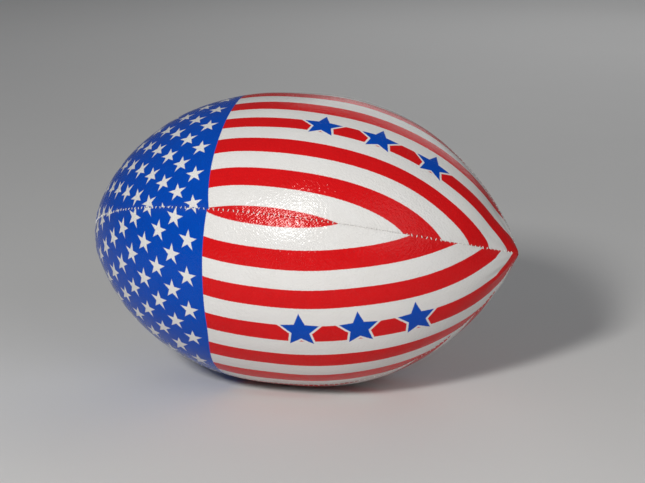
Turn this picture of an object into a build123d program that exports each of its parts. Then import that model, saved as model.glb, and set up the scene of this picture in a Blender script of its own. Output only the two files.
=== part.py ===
from build123d import *
import os
from math import atan2, cos, degrees, hypot, pi

# Four-panel oval ball lying on its side. X runs along the ball, blunt end at -X, and Z is up.
# The origin is the middle of the ball. A depth is measured inwards from the cloth's outer face.
# A turn is an angle about X, from +Z towards -Y.

# overall shape
LENGTH = 280.0
RADIUS = 93.6
BLUNT_OUTLINE = (2.42, 0.67)
SHARP_OUTLINE = (2.27, 0.80)
TIP_HOLE_R = 0.8
OUTLINE_STEPS = 18

# layers of the casing
CLOTH = 0.9
BACKING = 1.2
HEM_WIDTH = 6.0
SEAM_GAP = 0.05
EDGE_ROLL = 0.4
LAYER_GAP = 0.03
BLADDER_WALL = 0.9

# seams
FRONT_SEAM_TURN = 68.0
SEAM_END_MARGIN = 5.0
THREAD_R = 0.3
THREAD_SIDES = 6
ARCH_R = 1.85
ARCH_HALF_ANGLE = 52.0
STITCH_PROUD = 0.45
STITCH_PITCH = 3.3
STITCH_LEAN = 16.0
CLOSING_LENGTH = 80.0
CLOSING_PITCH = 5.0
CLOSING_THREAD_R = 0.45
CLOSING_PROUD = 0.7

# valve
VALVE_RECESS = 0.2
NECK_R = 4.0
NECK_CLEARANCE = 0.1
FLANGE_R = 12.0
FLANGE_WALL = 1.2
FLANGE_GAP = 0.1
CUP_R = 5.0
CUP_DEPTH = 17.0
PORT_R = 1.1
PORT_LENGTH = 3.0
CORE_R = 2.8
CORE_GAP = 0.02
CORE_LENGTH = 12.4
CUP_OUTLET_R = 1.6
LEAD_IN_DEPTH = 1.2
SLIT_LENGTH = 2.6
SLIT_WIDTH = 0.12
PATCH_R = 16.0

# derived sizes
BACKING_DEPTH = CLOTH + BACKING
HEM_DEPTH = BACKING_DEPTH + CLOTH
BLADDER_DEPTH = HEM_DEPTH + LAYER_GAP
BLADDER_INSIDE = BLADDER_DEPTH + BLADDER_WALL
WELL_CLEAR = 2 * RADIUS
PANEL_MIDDLE_TURN = -45.0
SEAM_TURNS = {
    "front": FRONT_SEAM_TURN,
    "bottom": FRONT_SEAM_TURN + 90,
    "back": FRONT_SEAM_TURN + 180,
    "top": FRONT_SEAM_TURN + 270,
}
# each panel runs from the seam before its turn up to the seam at its turn
PANEL_TURNS = {
    "upper_front": SEAM_TURNS["front"],
    "lower_front": SEAM_TURNS["bottom"],
    "lower_back": SEAM_TURNS["back"],
    "upper_back": SEAM_TURNS["top"],
}
VALVE_PANEL = "upper_back"
VALVE_TURN = PANEL_TURNS[VALVE_PANEL] + PANEL_MIDDLE_TURN


def outline_radius(x, depth=0.0):
    """Radius of the layer surface at this depth, at x along the ball."""
    power, root = BLUNT_OUTLINE if x < 0 else SHARP_OUTLINE
    along = min(1.0, abs(x) / (LENGTH / 2 - depth))
    return (RADIUS - depth) * (1 - along**power) ** root


def outline_reach(radius, depth, end):
    """The x at which the layer surface has this radius, at the blunt end (-1) or the sharp end (+1)."""
    power, root = BLUNT_OUTLINE if end < 0 else SHARP_OUTLINE
    share = 1 - (radius / (RADIUS - depth)) ** (1 / root)
    return end * (LENGTH / 2 - depth) * share ** (1 / power)


def outline_points(depth, tip_radius):
    """Points of one outline from end to end, closer together near the tips."""
    low = outline_reach(tip_radius, depth, -1)
    high = outline_reach(tip_radius, depth, 1)
    points = [(low, tip_radius)]
    for step in range(1, OUTLINE_STEPS):
        x = low + (high - low) * (1 - cos(pi * step / OUTLINE_STEPS)) / 2
        points.append((x, outline_radius(x, depth)))
    points.append((high, tip_radius))
    return points


def layer_section(outer_depth, inner_depth):
    """The section of the layer between two depths, from tip hole to tip hole."""
    outer = outline_points(outer_depth, TIP_HOLE_R)
    inner = outline_points(inner_depth, TIP_HOLE_R)
    sides = [Spline(*outer), Line(outer[-1], inner[-1]), Spline(*inner), Line(inner[0], outer[0])]
    return make_face(sides)


def quarter_layer(outer_depth, inner_depth, edge=0.0):
    """A quarter of the layer between two depths, in +Y +Z, its edges set back from the seam planes."""
    layer = revolve(layer_section(outer_depth, inner_depth), Axis.X, 90)
    if edge:
        middle = edge + WELL_CLEAR / 2
        layer = layer & (Pos(0, middle, middle) * Box(2 * LENGTH, WELL_CLEAR, WELL_CLEAR))
    return layer


def radial_rod(radius, low_depth, high_depth):
    """A cylinder along +Z between two depths at the ball's widest ring."""
    middle = RADIUS - (low_depth + high_depth) / 2
    return Pos(0, 0, middle) * Cylinder(radius, abs(low_depth - high_depth))


def in_panel(part):
    """Turn something built along +Z to the middle of a panel in +Y +Z."""
    return Rot(PANEL_MIDDLE_TURN, 0, 0) * part


def placed(part, panel):
    """Open half the seam gap on both edges of a panel in +Y +Z, then turn it to its place."""
    return Rot(PANEL_TURNS[panel], 0, 0) * (Pos(0, SEAM_GAP, SEAM_GAP) * part)


def cover(panel):
    """One cover panel: the cloth, turned in at both seams and folded back over the backing as a hem."""
    body = quarter_layer(0, HEM_DEPTH)
    body -= quarter_layer(CLOTH, BACKING_DEPTH, CLOTH)
    body -= quarter_layer(CLOTH + BACKING / 2, HEM_DEPTH + CLOTH, HEM_WIDTH)
    seam_edges = body.edges().sort_by(Edge.length)[-2:]
    body = fillet(seam_edges, EDGE_ROLL)
    if panel == VALVE_PANEL:
        body -= in_panel(radial_rod(NECK_R + NECK_CLEARANCE, -CLOTH, HEM_DEPTH))
    return placed(body, panel)


def backing(panel):
    """The laminated cloth glued behind one panel, inside its folded hems."""
    body = quarter_layer(CLOTH + LAYER_GAP, BACKING_DEPTH - LAYER_GAP, CLOTH + LAYER_GAP)
    if panel == VALVE_PANEL:
        body -= in_panel(radial_rod(NECK_R + NECK_CLEARANCE, 0, HEM_DEPTH))
    return placed(body, panel)


def tip_weld(end):
    """The small round weld that shuts the bladder at one tip."""
    low = outline_reach(TIP_HOLE_R, BLADDER_INSIDE, end)
    high = outline_reach(TIP_HOLE_R, BLADDER_DEPTH, end)
    weld = Cylinder(2 * TIP_HOLE_R, abs(high - low) - 2 * SEAM_GAP)
    return Pos((low + high) / 2, 0, 0) * Rot(0, 90, 0) * weld


def bladder():
    """The airtight bag, with the hole that the valve's neck passes through."""
    skin = revolve(layer_section(BLADDER_DEPTH, BLADDER_INSIDE), Axis.X, 360)
    skin -= Rot(VALVE_TURN, 0, 0) * radial_rod(NECK_R + NECK_CLEARANCE, BACKING_DEPTH, BLADDER_INSIDE + CLOTH)
    return skin + tip_weld(-1) + tip_weld(1)


def disc_layer(radius, outer_depth, inner_depth):
    """A round piece of the layer between two depths, centred in a panel in +Y +Z."""
    return quarter_layer(outer_depth, inner_depth) & in_panel(radial_rod(radius, -CLOTH, CUP_DEPTH))


def valve_patch():
    """The reinforcing ring between backing and bladder."""
    ring = disc_layer(PATCH_R, BACKING_DEPTH + LAYER_GAP, HEM_DEPTH - LAYER_GAP)
    ring -= in_panel(radial_rod(NECK_R + NECK_CLEARANCE, 0, CUP_DEPTH))
    return placed(ring, VALVE_PANEL)


def valve_body():
    """Moulded rubber: a neck through the casing, a flange inside the bladder and a cup for the core."""
    core_top = VALVE_RECESS + PORT_LENGTH
    core_floor = core_top + CORE_LENGTH + 2 * CORE_GAP
    body = disc_layer(FLANGE_R, BLADDER_INSIDE + FLANGE_GAP, BLADDER_INSIDE + FLANGE_WALL)
    body += in_panel(radial_rod(NECK_R, VALVE_RECESS, BLADDER_INSIDE + FLANGE_WALL / 2))
    body += in_panel(radial_rod(CUP_R, BLADDER_INSIDE + FLANGE_WALL / 2, CUP_DEPTH))
    body -= in_panel(radial_rod(PORT_R, -CLOTH, core_top))
    body -= in_panel(radial_rod(CORE_R, core_top, core_floor))
    body -= in_panel(radial_rod(CUP_OUTLET_R, core_floor, CUP_DEPTH + CLOTH))
    return placed(body, VALVE_PANEL)


def valve_core():
    """The rubber plug that seals round the needle, with its lead-in and its slit."""
    top = VALVE_RECESS + PORT_LENGTH + CORE_GAP
    plug = radial_rod(CORE_R - CORE_GAP, top, top + CORE_LENGTH)
    lead_in = Pos(0, 0, RADIUS - top - LEAD_IN_DEPTH / 2) * Cone(SLIT_WIDTH, PORT_R, LEAD_IN_DEPTH)
    slit = Pos(0, 0, RADIUS - top - CORE_LENGTH / 2) * Box(SLIT_LENGTH, SLIT_WIDTH, 2 * CORE_LENGTH)
    return placed(in_panel(plug - lead_in - slit), VALVE_PANEL)


def seam_stations(pitch, low_x, high_x):
    """Stations (x, radius, slope) evenly spaced along one seam between two places."""
    fine = 4000
    points = []
    for step in range(fine + 1):
        x = low_x + (high_x - low_x) * step / fine
        points.append((x, outline_radius(x)))
    stations = []
    travelled = 0.0
    for before, after in zip(points, points[1:]):
        travelled += hypot(after[0] - before[0], after[1] - before[1])
        if travelled >= pitch * (len(stations) + 0.5):
            slope = degrees(atan2(after[1] - before[1], after[0] - before[0]))
            stations.append((after[0], after[1], slope))
    return stations


def arch(thread_r, proud):
    """One stitch: thread that rises from one cloth edge, crosses the seam along Y and dives into the other."""
    section = Rot(-ARCH_HALF_ANGLE, 0, 0) * (Plane.XZ * Pos(0, ARCH_R) * RegularPolygon(thread_r, THREAD_SIDES))
    hoop = revolve(section, Axis.X, 2 * ARCH_HALF_ANGLE)
    return Pos(0, 0, proud - thread_r - ARCH_R) * hoop


def stitches(turn, stations, hoop, lean):
    """A row of stitches over the seam at this turn, leaning one way and the other along the seam."""
    row = []
    for number, (x, radius, slope) in enumerate(stations):
        side = lean if number % 2 else -lean
        row.append(Rot(turn, 0, 0) * Pos(x, 0, radius) * Rot(0, -slope, 0) * Rot(0, 0, side) * hoop)
    return Compound(children=row)


def seam_stitches(seam):
    """The machine stitches of one seam. The back seam leaves out the stretch that is closed by hand."""
    reach = LENGTH / 2 - SEAM_END_MARGIN
    stations = seam_stations(STITCH_PITCH, -reach, reach)
    if seam == "back":
        stations = [place for place in stations if abs(place[0]) > CLOSING_LENGTH / 2]
    return stitches(SEAM_TURNS[seam], stations, arch(THREAD_R, STITCH_PROUD), STITCH_LEAN)


def closing_stitches():
    """The thicker hand stitches that close the back seam once the bladder is in."""
    reach = (CLOSING_LENGTH - CLOSING_PITCH) / 2
    stations = seam_stations(CLOSING_PITCH, -reach, reach)
    return stitches(SEAM_TURNS["back"], stations, arch(CLOSING_THREAD_R, CLOSING_PROUD), 0.0)


def build():
    """Every piece of the ball, by node name."""
    pieces = {}
    for panel in PANEL_TURNS:
        pieces[f"cover_{panel}"] = cover(panel)
        pieces[f"backing_{panel}"] = backing(panel)
    for seam in SEAM_TURNS:
        pieces[f"stitches_{seam}_seam"] = seam_stitches(seam)
    pieces["closing_stitches"] = closing_stitches()
    pieces["bladder"] = bladder()
    pieces["valve_patch"] = valve_patch()
    pieces["valve_body"] = valve_body()
    pieces["valve_core"] = valve_core()
    return pieces


os.makedirs("parts", exist_ok=True)
for node, piece in build().items():
    export_step(piece, f"parts/{node}.step")
    print(node, len(piece.solids()), "solids", round(piece.volume, 1), "mm3")
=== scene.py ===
from math import cos, pi, radians, sin

import bpy
import numpy as np
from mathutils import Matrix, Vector


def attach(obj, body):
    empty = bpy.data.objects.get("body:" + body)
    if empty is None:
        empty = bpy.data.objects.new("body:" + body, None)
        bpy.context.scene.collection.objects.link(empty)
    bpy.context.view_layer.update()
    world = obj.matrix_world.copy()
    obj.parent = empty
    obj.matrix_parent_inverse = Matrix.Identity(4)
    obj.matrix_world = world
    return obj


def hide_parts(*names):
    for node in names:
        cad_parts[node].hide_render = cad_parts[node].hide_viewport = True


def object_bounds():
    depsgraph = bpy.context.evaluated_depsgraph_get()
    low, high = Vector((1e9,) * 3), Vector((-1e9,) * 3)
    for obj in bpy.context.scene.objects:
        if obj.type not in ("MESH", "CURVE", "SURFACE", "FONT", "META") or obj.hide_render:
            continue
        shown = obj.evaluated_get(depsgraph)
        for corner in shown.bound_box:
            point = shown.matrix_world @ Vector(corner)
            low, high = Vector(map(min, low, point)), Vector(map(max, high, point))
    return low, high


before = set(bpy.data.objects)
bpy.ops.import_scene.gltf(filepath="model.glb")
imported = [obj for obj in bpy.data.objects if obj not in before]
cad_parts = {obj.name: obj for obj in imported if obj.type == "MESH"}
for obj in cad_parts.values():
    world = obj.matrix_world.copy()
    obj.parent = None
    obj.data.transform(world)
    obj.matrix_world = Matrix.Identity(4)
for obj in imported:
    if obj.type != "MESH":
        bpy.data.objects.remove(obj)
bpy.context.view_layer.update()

# ---------------------------------------------------------------- sizes, in millimetres unless named otherwise
MM = 0.001
HALF_LENGTH = 140.0
RADIUS = 93.6
BLUNT_OUTLINE = (2.42, 0.67)
SHARP_OUTLINE = (2.27, 0.80)
FRONT_SEAM = radians(68.0)
SEAM_TWIST = (-0.007, 0.060, 0.022)
PANELS = {"upper_front": 0, "lower_front": 1, "lower_back": 2, "upper_back": 3}
SEAMS = {"front": 0, "bottom": 1, "back": 2, "top": 3}

STITCH_PITCH = 3.3
ROW_STEP = STITCH_PITCH / 4
COLUMN_STEP = 2.8
VALVE_COLUMN_STEP = 1.8
ROLL = 0.3
FLANGE = (0.4, 1.2, 2.2)
EDGE_COLUMNS = (0.0, 0.04, 0.13, 0.26, 0.42, 0.66, 1.05, 1.6, 2.4, 3.4, 4.7, 6.4)
EDGE_FULL_WIDTH = 16.0
SEAM_SPLIT = 0.01
BULGE = 1.0
TIP_FLATTENS = {"upper_front": 1.5, "lower_front": 0.5, "lower_back": 0.6, "upper_back": 0.8}
TIP_KNOB = 0.9
TIP_GAP = 0.3
SEAM_SINK = 0.2
DEEPEST = 0.72
CLOTH = 0.5

STITCH_REACH = 0.78
THREAD_R = 0.26
THREAD_LIFT = 0.16
THREAD_DIVE = 0.62
CLOSING_LENGTH = 80.0
CLOSING_PITCH = 5.0
VALVE_PANEL = "upper_back"
VALVE_HOLE_R = 4.1
VALVE_ACROSS = RADIUS * SEAM_TWIST[0]

# the print, on the flat panel: along is measured from the edge of the blue end, across from the panel's middle
BLUE_EDGE_X = -37.7
STRIPE = 12.1
STAR_COLUMN_STEP = 11.6
STAR_ROW_STEP = 22.7
STAR_FIRST_COLUMN = -11.0
STAR_FIRST_ROW = 4.5
STAR_R = 6.6
STAR_WAIST = 0.385
EMBLEM_ALONG = (62.5, 98.5, 135.0)
EMBLEM_ACROSS = 2.2
EMBLEM_R = 12.6
EMBLEM_WAIST = 0.46
KEYLINE = 1.3
EMBLEM_SHIFT = {"upper_front": 0.6, "lower_front": -1.3, "lower_back": 0.8, "upper_back": -0.6}
# how each panel's blue end lies: shift along, pull towards the stripes at the front seam and at the far
# edge, place of a star row, distance between star rows, and how far the rows spread towards the far edge
BLUE_END = {
    "upper_front": dict(along=-0.3, seam=3.0, far=-1.5, row=-9.6, rows=19.2, spread=0.0),
    "lower_front": dict(along=0.6, seam=0.9, far=-4.4, row=4.5, rows=22.7, spread=20.0),
    "lower_back": dict(along=-1.0, seam=-1.5, far=1.0, row=7.0, rows=21.5, spread=0.0),
    "upper_back": dict(along=-0.6, seam=1.5, far=0.6, row=-4.0, rows=20.5, spread=0.0),
}
BLUE_EDGE_HALF_WIDTH = 70.0
FAR_PULL_SHARE = 0.7
SPREAD_FROM = 0.4
# how the stuffed cloth pulls each panel's stripes off a plain wrap, in mm across the panel
STRIPE_PULL = {
    "upper_front": dict(lift=7.4, squeeze=6.2, start=3.0, drift=-8.0, hold=0.7, edge=-1.7, blue=1.3, far=6.0),
    "lower_front": dict(lift=2.0, squeeze=0.0, start=-2.0, drift=5.5, hold=0.0, edge=-4.0, blue=-0.3, far=0.0),
    "lower_back": dict(lift=1.2, squeeze=0.0, start=1.0, drift=-2.0, hold=0.5, edge=-2.0, blue=-1.0, far=0.0),
    "upper_back": dict(lift=-0.8, squeeze=0.0, start=-1.0, drift=2.0, hold=0.5, edge=-2.0, blue=-1.0, far=0.0),
}
SQUEEZE_PLACE, SQUEEZE_WIDTH = -7.0, 20.0
START_LENGTH, BLUE_PULL_LENGTH = 20.0, 12.0
DRIFT_FROM, DRIFT_LENGTH = {"upper_front": 50.0, "lower_front": 85.0, "lower_back": 70.0, "upper_back": 60.0}, 95.0
EDGE_PULL_ENDS, EDGE_PULL_FADE = 110.0, 60.0
PULL_FADES_UNDER = 16.0


# ---------------------------------------------------------------- the ball's outline
def outline(x):
    """Radius of the ball at x along it."""
    along = np.clip(np.abs(x) / HALF_LENGTH, 0.0, 1.0)
    blunt = (1 - along ** BLUNT_OUTLINE[0]) ** BLUNT_OUTLINE[1]
    sharp = (1 - along ** SHARP_OUTLINE[0]) ** SHARP_OUTLINE[1]
    return RADIUS * np.where(x < 0, blunt, sharp)


fine_x = -HALF_LENGTH * np.cos(np.linspace(0.0, pi, 6001))
fine_r = outline(fine_x)
fine_u = np.concatenate([[0.0], np.cumsum(np.hypot(np.diff(fine_x), np.diff(fine_r)))])
TOTAL_U = float(fine_u[-1])
BLUE_EDGE_U = float(np.interp(BLUE_EDGE_X, fine_x, fine_u))
slope_x = np.gradient(fine_x, fine_u)
slope_r = np.gradient(fine_r, fine_u)


def station(u):
    """x, radius, outward normal (along x, away from the axis) and seam twist at length u along a panel."""
    x = np.interp(u, fine_u, fine_x)
    r = np.interp(u, fine_u, fine_r)
    nx = -np.interp(u, fine_u, slope_r)
    nr = np.interp(u, fine_u, slope_x)
    size = np.hypot(nx, nr)
    t = x / HALF_LENGTH
    twist = SEAM_TWIST[0] + SEAM_TWIST[1] * t + SEAM_TWIST[2] * t * t
    return x, r, nx / size, nr / size, twist


def seam_turn(number):
    """Angle about X, from +Z towards -Y, of a seam."""
    return FRONT_SEAM + number * pi / 2


def on_ball(u, turn, offset):
    """Points at length u and this turn, lifted off the outline by offset."""
    x, r, nx, nr, twist = station(u)
    reach = r + nr * offset
    angle = turn + twist
    return np.stack([x + nx * offset, -reach * np.sin(angle), reach * np.cos(angle)], -1) * MM


# ---------------------------------------------------------------- the cloth's relief
def waves(u, lengths, seed):
    """A smooth uneven curve along u, made of a few wave lengths, about 1 high."""
    rng = np.random.default_rng(seed)
    total = np.zeros_like(u)
    for length in lengths:
        total = total + np.sin(2 * pi * u / length + rng.uniform(0, 2 * pi)) * rng.uniform(0.6, 1.0)
    return total / len(lengths)


def edge_scale(half_width):
    """How much the rolled edge and the puckers shrink where the panel is narrow."""
    return np.clip(half_width / EDGE_FULL_WIDTH, 0.0, 1.0)


def roll_drop(distance, width):
    """How far the rolled edge has turned in at this distance from the seam."""
    inside = np.clip(width - distance, 0.0, width)
    return width - np.sqrt(np.maximum(width * width - inside * inside, 0.0))


def relief(name, u, across, half_width):
    """Height of the cloth's outer face over the outline: bulge, puckers at the seams, tip folds."""
    seed = PANELS[name] + 1
    share = across / half_width
    scale = edge_scale(half_width)
    lift = BULGE * scale * (1.0 - share * share) - SEAM_SINK * scale
    for side in (-1, 1):
        distance = half_width - side * across
        scallop = np.cos(2 * pi * (u + 0.5 * side) / STITCH_PITCH)
        lift = lift - 0.10 * scale * scallop * np.exp(-distance / 1.2)
        pucker = waves(u, (7.3, 10.9, 15.7, 23.0), seed * 10 + side + 5)
        lift = lift + 0.17 * scale * pucker * np.exp(-distance / 5.0)
    to_sharp = TOTAL_U - u
    flat_tip = np.exp(-(((to_sharp - 24.0) / 16.0) ** 2))
    lift = lift - TIP_FLATTENS[name] * flat_tip * (1.0 - share * share)
    lift = lift + TIP_KNOB * np.exp(-((to_sharp / 5.0) ** 2))
    to_tip = np.minimum(u, to_sharp)
    folds = waves(across * 9.0 / (half_width + 4.0), (2.9, 4.3, 6.1), seed * 10 + 1)
    lift = lift + 0.55 * folds * scale * np.exp(-((to_tip - 18.0) / 14.0) ** 2)
    lift = lift + 0.22 * waves(u + 0.7 * across, (61.0, 97.0), seed * 10 + 2)
    lift = lift + 0.18 * waves(across - 0.4 * u, (37.0, 71.0), seed * 10 + 3)
    return np.maximum(lift, -DEEPEST) + CLOTH


def ease(share):
    """0 to 1 with level ends."""
    share = np.clip(share, 0.0, 1.0)
    return share * share * (3.0 - 2.0 * share)


def stripe_across(name, along, across, half_width):
    """Where a point across a panel lies on its stripes, which the stuffed cloth pulls off a plain wrap."""
    pull = STRIPE_PULL[name]
    share = np.clip(across / half_width, -1.0, 1.0)
    past = np.maximum(along, 0.0)
    shift = pull["lift"] + pull["squeeze"] * np.tanh((across - SQUEEZE_PLACE) / SQUEEZE_WIDTH)
    shift = shift + pull["start"] * np.exp(-past / START_LENGTH)
    drifted = ease((past - DRIFT_FROM[name]) / DRIFT_LENGTH)
    shift = shift + pull["drift"] * drifted * (1.0 - pull["hold"] * share**4)
    shift = shift + pull["edge"] * share**9 * (1.0 - ease((past - EDGE_PULL_ENDS) / EDGE_PULL_FADE))
    shift = shift + pull["blue"] * share**5 * np.exp(-past / BLUE_PULL_LENGTH)
    shift = shift - pull["far"] * np.maximum(share, 0.0) ** 4
    return across + shift * np.clip(half_width / PULL_FADES_UNDER, 0.0, 1.0)


def blue_end_place(name, along, across, half_width):
    """Where a point of a panel lies on the print of the blue end."""
    lie = BLUE_END[name]
    to_seam = across / half_width * (-1 if PANELS[name] % 2 == 0 else 1)
    fade = half_width / BLUE_EDGE_HALF_WIDTH
    pull = lie["seam"] * np.clip(to_seam, 0.0, 1.0) ** 6 + lie["far"] * ease(-to_seam / FAR_PULL_SHARE)
    row = across - lie["row"] + fade * lie["spread"] * np.maximum(-to_seam - SPREAD_FROM, 0.0)
    return along - lie["along"] - fade * pull, row * STAR_ROW_STEP / lie["rows"] + STAR_FIRST_ROW


# ---------------------------------------------------------------- meshes
def mesh_object(name, points, faces, maps=None, seam=None):
    """A smooth mesh object with its flat-pattern UV maps and seam nearness, where it has them."""
    mesh = bpy.data.meshes.new(name)
    mesh.from_pydata(points.tolist(), [], faces)
    mesh.polygons.foreach_set("use_smooth", np.ones(len(mesh.polygons), bool))
    for map_name, flat in (maps or {}).items():
        corner = np.zeros(len(mesh.loops), np.int32)
        mesh.loops.foreach_get("vertex_index", corner)
        layer = mesh.uv_layers.new(name=map_name)
        layer.data.foreach_set("uv", flat[corner].astype(np.float32).ravel())
    if seam is not None:
        mesh.attributes.new("seam", "FLOAT", "POINT").data.foreach_set("value", seam.astype(np.float32))
    mesh.update()
    piece = bpy.data.objects.new(name, mesh)
    bpy.context.scene.collection.objects.link(piece)
    return piece


def panel_columns(half_width, column_step):
    """Places across a panel from one seam to the other: close together at the edges, then evenly spread."""
    scale = edge_scale(half_width)[:, None]
    edge = np.array(EDGE_COLUMNS)[None, :] * scale
    steps = int(2 * RADIUS * pi / 4 / column_step)
    inner = np.linspace(-1, 1, steps + 2)[1:-1][None, :] * (half_width[:, None] - edge[:, -1:])
    low = -half_width[:, None] + edge
    high = half_width[:, None] - edge[:, ::-1]
    return np.concatenate([low, inner, high], 1)


def build_panel(name, number):
    """One cover panel: the outer face, its rolled edges and the flanges that turn in at both seams."""
    u = np.linspace(TIP_GAP, TOTAL_U - TIP_GAP, int(TOTAL_U / ROW_STEP))
    x, r, nx, nr, twist = station(u)
    half_width = r * pi / 4 - SEAM_SPLIT
    across = panel_columns(half_width, VALVE_COLUMN_STEP if name == VALVE_PANEL else COLUMN_STEP)
    rows, columns = across.shape
    uu = np.repeat(u[:, None], columns, 1)
    wide = np.repeat(half_width[:, None], columns, 1)
    distance = wide - np.abs(across)
    width = ROLL * edge_scale(wide)
    height = relief(name, uu, across, wide) - roll_drop(distance, width)
    flange = np.array(FLANGE)[None, :] * edge_scale(half_width)[:, None]
    low_drop = height[:, :1] - flange[:, ::-1]
    high_drop = height[:, -1:] - flange
    height = np.concatenate([low_drop, height, high_drop], 1)
    extra = len(FLANGE)
    across = np.concatenate([np.repeat(across[:, :1], extra, 1), across, np.repeat(across[:, -1:], extra, 1)], 1)
    flat_across = across.copy()
    flat_across[:, :extra] -= flange[:, ::-1]
    flat_across[:, -extra:] += flange
    columns += 2 * extra
    uu = np.repeat(u[:, None], columns, 1)
    rr = np.repeat(r[:, None], columns, 1)
    middle = seam_turn(number) - pi / 4
    points = on_ball(uu, middle - across / rr, height).reshape(-1, 3)
    index = np.arange(rows * columns).reshape(rows, columns)
    quads = np.stack([index[:-1, :-1], index[1:, :-1], index[1:, 1:], index[:-1, 1:]], -1).reshape(-1, 4)
    wide = np.repeat(half_width[:, None], columns, 1)
    along = uu - BLUE_EDGE_U
    striped = stripe_across(name, along, flat_across, wide + SEAM_SPLIT)
    starred = blue_end_place(name, along, flat_across, wide + SEAM_SPLIT)
    maps = {
        "flat": np.stack(starred, -1).reshape(-1, 2),
        "stripes": np.stack([along - EMBLEM_SHIFT[name], striped], -1).reshape(-1, 2),
    }
    seam = np.exp(-(wide - np.abs(across)) / 1.6).reshape(-1)
    if name == VALVE_PANEL:
        points, quads = cut_valve_hole(points, quads, uu.reshape(-1), across.reshape(-1), middle)
    panel = mesh_object(f"panel_{name}", points, quads.tolist(), maps, seam)
    thicken(panel, CLOTH)
    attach(panel, "root")
    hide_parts(f"cover_{name}")
    return panel


def thicken(piece, depth):
    """Give a sheet its thickness, inwards."""
    solid = piece.modifiers.new("thickness", "SOLIDIFY")
    solid.thickness = depth * MM
    solid.offset = -1.0
    sheet = bpy.data.meshes.new_from_object(piece.evaluated_get(bpy.context.evaluated_depsgraph_get()))
    piece.modifiers.clear()
    thin = piece.data
    piece.data = sheet
    bpy.data.meshes.remove(thin)
    sheet.name = piece.name


def cut_valve_hole(points, quads, u, across, middle):
    """Open a round hole over the valve, in the middle of its panel."""
    centre = float(np.interp(0.0, fine_x, fine_u))
    du = u - centre
    dv = across - VALVE_ACROSS
    gap = np.hypot(du, dv)
    inside = gap < VALVE_HOLE_R
    kept = quads[~inside[quads].all(1)]
    rim = np.zeros(len(inside), bool)
    rim[kept.ravel()] = True
    rim &= inside
    factor = VALVE_HOLE_R / np.maximum(gap, 1e-6)
    new_u = centre + du * factor
    new_across = VALVE_ACROSS + dv * factor
    r = station(new_u)[1]
    moved = on_ball(new_u, middle - new_across / r, relief(VALVE_PANEL, new_u, new_across, r * pi / 4))
    points = points.copy()
    points[rim] = moved[rim]
    return points, kept


def tubes(paths, radius, sides=7):
    """Round threads with closed ends along several paths of equal length."""
    all_points = []
    faces = []
    start = 0
    for path in paths:
        path = np.asarray(path)
        count = len(path)
        along = np.gradient(path, axis=0)
        along /= np.linalg.norm(along, axis=1)[:, None]
        guide = path[0] / np.linalg.norm(path[0] * [0, 1, 1])
        side = np.cross(along, guide)
        side /= np.linalg.norm(side, axis=1)[:, None]
        up = np.cross(side, along)
        ring = np.arange(sides) * 2 * pi / sides
        circle = np.cos(ring)[None, :, None] * side[:, None, :] + np.sin(ring)[None, :, None] * up[:, None, :]
        all_points.append((path[:, None, :] + circle * radius * MM).reshape(-1, 3))
        index = start + np.arange(count * sides).reshape(count, sides)
        after = np.roll(index, -1, 1)
        faces += np.stack([index[:-1], after[:-1], after[1:], index[1:]], -1).reshape(-1, 4).tolist()
        faces += [index[0, ::-1].tolist(), index[-1].tolist()]
        start += count * sides
    return np.concatenate(all_points), faces


def beside_seam(number, u, across):
    """Height of the cloth beside a seam; across is towards the panel that comes before it."""
    names = list(PANELS)
    half_width = station(u)[1] * pi / 4 - SEAM_SPLIT
    before = relief(names[number], u, np.maximum(across, 0.0) - half_width, half_width)
    after = relief(names[(number + 1) % 4], u, np.minimum(across, 0.0) + half_width, half_width)
    return after + (before - after) * np.clip(0.5 + across / 1.2, 0.0, 1.0)


def stitch_path(number, u, lean, reach, sag):
    """One stitch from cloth to cloth over a seam, its ends sunk in the cloth."""
    share = np.linspace(-1, 1, 9)
    across = share * reach
    along = u + lean * share
    height = beside_seam(number, along, across) + THREAD_LIFT - sag - THREAD_DIVE * np.abs(share) ** 4
    return on_ball(along, seam_turn(number) - across / station(along)[1], height)


def build_stitches(seam, number):
    """The stitches of one seam, alternately leaning, a little uneven."""
    rng = np.random.default_rng(40 + number)
    paths = []
    u = 6.0
    count = 0
    while u < TOTAL_U - 5.0:
        x = float(np.interp(u, fine_u, fine_x))
        if not (seam == "back" and abs(x) < CLOSING_LENGTH / 2):
            lean = (0.3 if count % 2 else -0.3) + rng.uniform(-0.2, 0.2)
            reach = STITCH_REACH * rng.uniform(0.75, 1.1)
            sag = rng.uniform(-0.05, 0.2)
            paths.append(stitch_path(number, u + rng.uniform(-0.2, 0.2), lean, reach, sag))
        u += STITCH_PITCH
        count += 1
    points, faces = tubes(paths, THREAD_R)
    piece = mesh_object(f"stitching_{seam}_seam", points, faces)
    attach(piece, "root")
    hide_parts(f"stitches_{seam}_seam")
    return piece


def build_closing_stitches():
    """The thicker hand stitches on the back seam."""
    rng = np.random.default_rng(50)
    low = float(np.interp(-CLOSING_LENGTH / 2 + 2, fine_x, fine_u))
    high = float(np.interp(CLOSING_LENGTH / 2 - 2, fine_x, fine_u))
    paths = []
    for u in np.arange(low, high, CLOSING_PITCH):
        lean = 0.8 + rng.uniform(-0.4, 0.4)
        paths.append(stitch_path(SEAMS["back"], u + rng.uniform(-0.3, 0.3), lean, 1.9, 0.0))
    points, faces = tubes(paths, 0.42)
    piece = mesh_object("closing_stitching", points, faces)
    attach(piece, "root")
    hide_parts("closing_stitches")
    return piece


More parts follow.
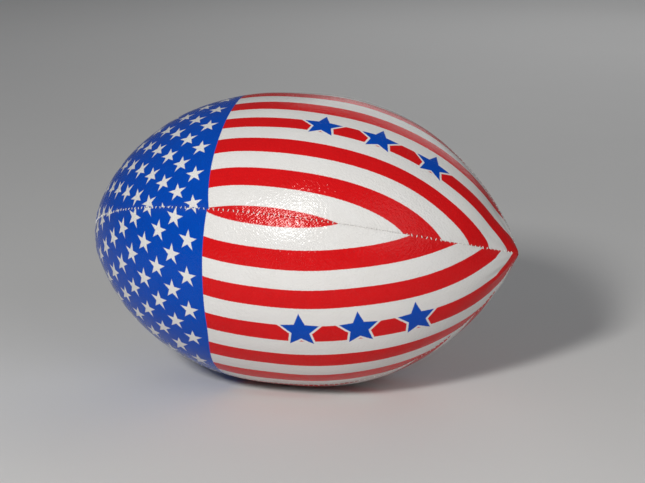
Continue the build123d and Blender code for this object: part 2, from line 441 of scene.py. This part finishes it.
# ---------------------------------------------------------------- shader helpers
class Shader:
    """One material and short ways to add its nodes."""

    def __init__(self, name):
        self.material = bpy.data.materials.new(name)
        self.material.use_nodes = True
        self.tree = self.material.node_tree
        self.bsdf = self.tree.nodes["Principled BSDF"]

    def put(self, socket, value):
        """A number, a colour or another node's output into a socket."""
        if hasattr(value, "is_output"):
            self.tree.links.new(value, socket)
        elif isinstance(value, tuple) and len(value) == 3 and socket.type == "RGBA":
            socket.default_value = (*value, 1.0)
        else:
            socket.default_value = value

    def add(self, kind, **values):
        """A node of this kind with its named inputs filled."""
        node = self.tree.nodes.new(kind)
        for key, value in values.items():
            self.put(node.inputs[key.replace("_", " ")], value)
        return node

    def maths(self, operation, a, b=None, c=None, clamp=False):
        """One maths node."""
        node = self.tree.nodes.new("ShaderNodeMath")
        node.operation = operation
        node.use_clamp = clamp
        for socket, value in zip(node.inputs, (a, b, c)):
            if value is not None:
                self.put(socket, value)
        return node.outputs[0]

    def mix(self, share, a, b):
        """Colour b over colour a by share."""
        node = self.tree.nodes.new("ShaderNodeMix")
        node.data_type = "RGBA"
        self.put(node.inputs[0], share)
        self.put(node.inputs[6], a)
        self.put(node.inputs[7], b)
        return node.outputs[2]

    def ramp(self, value, low, high, to_low=0.0, to_high=1.0):
        """Value mapped from one range to another and held inside it."""
        node = self.tree.nodes.new("ShaderNodeMapRange")
        for socket, number in zip(node.inputs, (value, low, high, to_low, to_high)):
            self.put(socket, number)
        return node.outputs[0]

    def noise(self, scale, detail=3.0, vector=None, rough=0.5):
        """Noise about 0.5."""
        node = self.add("ShaderNodeTexNoise", Scale=scale, Detail=detail, Roughness=rough)
        if vector is not None:
            self.put(node.inputs["Vector"], vector)
        return node.outputs[0]

    def place(self):
        """The piece's own coordinates."""
        return self.add("ShaderNodeTexCoord").outputs["Object"]

    def base(self, colour):
        self.put(self.bsdf.inputs["Base Color"], colour)

    def rough(self, value):
        self.put(self.bsdf.inputs["Roughness"], value)

    def fixed(self, **values):
        """Plain numbers straight on the shader's sockets."""
        for key, value in values.items():
            self.bsdf.inputs[key.replace("_", " ")].default_value = value

    def bump(self, height, distance, strength=1.0, over=None):
        """Bump from a height, over another bump if given."""
        node = self.add("ShaderNodeBump", Height=height, Distance=distance, Strength=strength)
        if over is not None:
            self.put(node.inputs["Normal"], over)
        return node.outputs[0]

    def normal(self, value):
        self.put(self.bsdf.inputs["Normal"], value)


def weave(s, u, v, pitch):
    """Plain weave height, threads over and under each other, about 0 to 1."""
    warp = s.maths("SINE", s.maths("MULTIPLY", u, pi / pitch))
    weft = s.maths("SINE", s.maths("MULTIPLY", v, pi / pitch))
    return s.maths("MULTIPLY_ADD", s.maths("MULTIPLY", warp, weft), 0.5, 0.5)


def star_distance(s, along, across, radius, waist):
    """Distance outside a five-pointed star, negative inside it. Its first point is towards +across."""
    corner = 2 * pi / 5
    reach = s.maths("SQRT", s.maths("MULTIPLY_ADD", along, along, s.maths("MULTIPLY", across, across)))
    angle = s.maths("ARCTAN2", along, across)
    turned = s.maths("FLOORED_MODULO", s.maths("ADD", angle, corner / 2), corner)
    folded = s.maths("ABSOLUTE", s.maths("SUBTRACT", turned, corner / 2))
    tip = np.array([radius, 0.0])
    inner = radius * waist * np.array([cos(corner / 2), sin(corner / 2)])
    edge = inner - tip
    normal = np.array([-edge[1], edge[0]])
    normal = -normal / np.linalg.norm(normal) if normal @ tip < 0 else normal / np.linalg.norm(normal)
    side_x = s.maths("MULTIPLY", s.maths("COSINE", folded), float(normal[0]))
    side_y = s.maths("MULTIPLY", s.maths("SINE", folded), float(normal[1]))
    return s.maths("MULTIPLY_ADD", reach, s.maths("ADD", side_x, side_y), float(-normal @ tip))


def cell(s, value, start, step):
    """Signed distance from the nearest of a row of centres."""
    offset = s.maths("SUBTRACT", value, start - step / 2)
    return s.maths("SUBTRACT", s.maths("FLOORED_MODULO", offset, step), step / 2)


def inside(s, distance, soft):
    """1 inside, 0 outside, with an edge this soft."""
    return s.maths("MULTIPLY_ADD", distance, -1.0 / soft, 0.5, clamp=True)


BLUE_INK = (0.0008, 0.068, 0.440)
RED_INK = (0.650, 0.008, 0.010)
WHITE_CLOTH = (0.735, 0.730, 0.725)


def printed_cloth():
    """Woven cloth with a clear glossy coat, printed with stripes, a starred blue end and three keylined stars."""
    s = Shader("printed_cover_cloth")
    pin = s.tree.nodes.new("ShaderNodeUVMap")
    pin.uv_map = "flat"
    split = s.add("ShaderNodeSeparateXYZ", Vector=pin.outputs[0])
    along, across = split.outputs[0], split.outputs[1]
    wander = s.noise(0.9, 3.0, pin.outputs[0])
    shake = s.maths("MULTIPLY_ADD", wander, 0.55, -0.275)
    u = s.maths("ADD", along, shake)
    v = s.maths("ADD", across, shake)
    stripe_pin = s.tree.nodes.new("ShaderNodeUVMap")
    stripe_pin.uv_map = "stripes"
    stripe_split = s.add("ShaderNodeSeparateXYZ", Vector=stripe_pin.outputs[0])
    pulled = s.maths("ADD", stripe_split.outputs[1], shake)
    run = s.maths("ADD", stripe_split.outputs[0], shake)

    blue_end = inside(s, u, 0.35)
    stripe_cell = cell(s, pulled, 0.0, 2 * STRIPE)
    stripe = inside(s, s.maths("SUBTRACT", s.maths("ABSOLUTE", stripe_cell), STRIPE / 2), 0.35)

    star = None
    for half in (0, 1):
        first_column = STAR_FIRST_COLUMN - half * STAR_COLUMN_STEP
        first_row = STAR_FIRST_ROW + half * STAR_ROW_STEP / 2
        one = star_distance(
            s,
            cell(s, u, first_column, 2 * STAR_COLUMN_STEP),
            cell(s, v, first_row, STAR_ROW_STEP),
            STAR_R,
            STAR_WAIST,
        )
        one = s.maths("MAXIMUM", one, s.maths("SUBTRACT", u, first_column + STAR_COLUMN_STEP))
        star = one if star is None else s.maths("MINIMUM", star, one)
    star = inside(s, star, 0.4)

    emblem = None
    above = s.maths("SUBTRACT", pulled, EMBLEM_ACROSS)
    for place in EMBLEM_ALONG:
        one = star_distance(s, s.maths("SUBTRACT", run, place), above, EMBLEM_R, EMBLEM_WAIST)
        emblem = one if emblem is None else s.maths("MINIMUM", emblem, one)
    keyline = inside(s, s.maths("SUBTRACT", emblem, KEYLINE), 0.4)
    emblem = inside(s, emblem, 0.35)

    white = s.mix(s.noise(0.05, 3.0, pin.outputs[0]), WHITE_CLOTH, (0.69, 0.675, 0.65))
    red = s.mix(s.noise(0.11, 4.0, pin.outputs[0]), RED_INK, (0.56, 0.006, 0.008))
    blue = s.mix(s.noise(0.10, 4.0, pin.outputs[0]), BLUE_INK, (0.0006, 0.052, 0.39))
    ground = s.mix(stripe, white, red)
    ground = s.mix(keyline, ground, white)
    ground = s.mix(emblem, ground, blue)
    field = s.mix(star, blue, white)
    colour = s.mix(blue_end, ground, field)
    flecks = s.ramp(s.noise(2.4, 2.0, pin.outputs[0]), 0.70, 0.76)
    colour = s.mix(s.maths("MULTIPLY", flecks, 0.12), colour, white)
    # Darker towards the seams: partly grime at the seam, partly painted shade of the seam groove and stitch holes.
    nearness = s.tree.nodes.new("ShaderNodeAttribute")
    nearness.attribute_name = "seam"
    seam_grime_and_painted_shade = s.maths("MULTIPLY", nearness.outputs["Fac"], s.ramp(s.noise(0.22, 3.0, pin.outputs[0]), 0.3, 0.7, 0.02, 0.12))
    s.base(s.mix(seam_grime_and_painted_shade, colour, (0.22, 0.17, 0.15)))

    cloth = weave(s, along, across, 0.9)
    slub = s.noise(0.8, 2.0, pin.outputs[0])
    s.rough(s.ramp(s.maths("MULTIPLY_ADD", slub, 0.6, s.maths("MULTIPLY", cloth, 0.25)), 0.1, 0.8, 0.11, 0.22))
    s.fixed(Specular_IOR_Level=0.23, IOR=1.40)
    coarse = s.bump(slub, 0.00008, 0.9)
    grain = s.bump(s.noise(0.58, 1.0, pin.outputs[0], 0.4), 0.00025, 1.0, coarse)
    s.normal(s.bump(cloth, 0.00005, 0.9, grain))
    return s.material


def thread_material(name, colour, shade):
    """Twisted waxed thread."""
    s = Shader(name)
    place = s.place()
    ply = s.add("ShaderNodeTexWave", Vector=place, Scale=900.0, Distortion=3.0, Detail=2.0)
    s.base(s.mix(s.maths("MULTIPLY", ply.outputs[1], s.noise(350.0, 3.0, place)), colour, shade))
    s.rough(s.ramp(s.noise(600.0, 3.0, place), 0.3, 0.7, 0.55, 0.75))
    s.normal(s.bump(ply.outputs[1], 0.00008, 0.8))
    s.fixed(Sheen_Weight=0.2)
    return s.material


def cloth_material(name, colour, shade, pitch):
    """Plain woven cloth, in the piece's own coordinates."""
    s = Shader(name)
    place = s.place()
    split = s.add("ShaderNodeSeparateXYZ", Vector=place)
    x = s.maths("MULTIPLY", split.outputs[0], 1000.0)
    angle = s.maths("ARCTAN2", split.outputs[1], split.outputs[2])
    threads = weave(s, x, s.maths("MULTIPLY", angle, RADIUS), pitch)
    stain = s.noise(40.0, 4.0, place)
    s.base(s.mix(s.maths("MULTIPLY", threads, stain), colour, shade))
    s.rough(s.ramp(s.noise(300.0, 3.0, place), 0.3, 0.7, 0.75, 0.95))
    s.normal(s.bump(threads, 0.0002, 0.7))
    s.fixed(Sheen_Weight=0.15)
    return s.material


def rubber_material(name, colour, shade, low, high):
    """Moulded rubber with a fine grain, bloom and faint scuffs."""
    s = Shader(name)
    place = s.place()
    bloom = s.ramp(s.noise(60.0, 5.0, place), 0.35, 0.75)
    s.base(s.mix(bloom, colour, shade))
    grain = s.noise(2200.0, 2.0, place)
    s.rough(s.ramp(s.noise(180.0, 4.0, place), 0.3, 0.7, low, high))
    s.normal(s.bump(grain, 0.00006, 0.6))
    return s.material


def floor_material():
    """Pale matt studio paper."""
    s = Shader("studio_paper")
    place = s.place()
    s.base(s.mix(s.noise(3.0, 4.0, place), (0.74, 0.74, 0.73), (0.70, 0.70, 0.695)))
    s.rough(s.ramp(s.noise(12.0, 3.0, place), 0.3, 0.7, 0.85, 0.95))
    s.normal(s.bump(s.noise(500.0, 3.0, place), 0.0002, 0.2))
    s.fixed(Specular_IOR_Level=0.1)
    return s.material


# ---------------------------------------------------------------- build
def wear(piece, material):
    piece.data.materials.clear()
    piece.data.materials.append(material)


print_material = printed_cloth()
thread = thread_material("seam_thread", (0.86, 0.85, 0.82), (0.62, 0.60, 0.55))
closing = thread_material("closing_thread", (0.84, 0.82, 0.77), (0.58, 0.55, 0.49))
for panel_name, panel_number in PANELS.items():
    wear(build_panel(panel_name, panel_number), print_material)
for seam_name, seam_number in SEAMS.items():
    wear(build_stitches(seam_name, seam_number), thread)
wear(build_closing_stitches(), closing)

backing_material = cloth_material("backing_cloth", (0.72, 0.66, 0.54), (0.50, 0.44, 0.34), 1.0)
for panel_name in PANELS:
    wear(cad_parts[f"backing_{panel_name}"], backing_material)
wear(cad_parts["bladder"], rubber_material("bladder_rubber", (0.020, 0.020, 0.022), (0.050, 0.048, 0.046), 0.35, 0.55))
wear(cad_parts["valve_patch"], rubber_material("patch_rubber", (0.06, 0.05, 0.045), (0.11, 0.10, 0.09), 0.6, 0.8))
wear(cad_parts["valve_body"], rubber_material("valve_rubber", (0.018, 0.018, 0.018), (0.05, 0.05, 0.05), 0.4, 0.6))
wear(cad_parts["valve_core"], rubber_material("core_rubber", (0.30, 0.07, 0.04), (0.20, 0.05, 0.03), 0.5, 0.7))


# ---------------------------------------------------------------- stage, light and camera
def studio():
    floor_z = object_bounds()[0].z
    mesh = bpy.data.meshes.new("studio_floor")
    size = 6.0
    steps = 24
    side = np.linspace(-size, size, steps)
    xs, ys = np.meshgrid(side, side)
    rise = np.clip(ys - 2.0, 0.0, None) ** 2 * 0.35
    points = np.stack([xs, ys, floor_z + rise], -1).reshape(-1, 3)
    index = np.arange(steps * steps).reshape(steps, steps)
    quads = np.stack([index[:-1, :-1], index[:-1, 1:], index[1:, 1:], index[1:, :-1]], -1).reshape(-1, 4)
    mesh.from_pydata(points.tolist(), [], quads.tolist())
    mesh.polygons.foreach_set("use_smooth", np.ones(len(mesh.polygons), bool))
    floor = bpy.data.objects.new("studio_floor", mesh)
    bpy.context.scene.collection.objects.link(floor)
    wear(floor, floor_material())


def area_light(name, place, aim, size, power, colour=(1.0, 1.0, 1.0)):
    light = bpy.data.lights.new(name, "AREA")
    light.shape = "SQUARE"
    light.size = size
    light.energy = power
    light.color = colour
    lamp = bpy.data.objects.new(name, light)
    bpy.context.scene.collection.objects.link(lamp)
    lamp.location = place
    lamp.rotation_mode = "QUATERNION"
    lamp.rotation_quaternion = (Vector(aim) - Vector(place)).to_track_quat("-Z", "Y")


def camera():
    azimuth, elevation, distance = radians(15.92), radians(13.34), 1.556
    aim = Vector((0.0132, 0.0, -0.0005))
    back = Vector((sin(azimuth) * cos(elevation), -cos(azimuth) * cos(elevation), sin(elevation)))
    data = bpy.data.cameras.new("camera")
    data.lens = 135.0
    data.sensor_width = 36.0
    data.clip_start = 0.05
    data.clip_end = 60.0
    eye = bpy.data.objects.new("camera", data)
    bpy.context.scene.collection.objects.link(eye)
    eye.location = aim + back * distance
    eye.rotation_mode = "QUATERNION"
    eye.rotation_quaternion = (-back).to_track_quat("-Z", "Y")
    bpy.context.scene.camera = eye


studio()
world = bpy.data.worlds.new("studio_world")
world.use_nodes = True
world.node_tree.nodes["Background"].inputs[0].default_value = (0.92, 0.94, 1.0, 1.0)
world.node_tree.nodes["Background"].inputs[1].default_value = 0.12
bpy.context.scene.world = world
area_light("key", (-0.17, -1.58, 0.84), (0.0, 0.0, 0.0), 0.24, 23.5, (1.0, 0.985, 0.96))
area_light("fill_right", (1.5, -1.2, 0.8), (0.0, 0.0, 0.0), 1.2, 6.5)
area_light("back", (0.1, 1.7, 0.9), (0.0, 0.0, 0.0), 1.2, 5.0)
camera()
bpy.context.scene.view_settings.view_transform = "Standard"
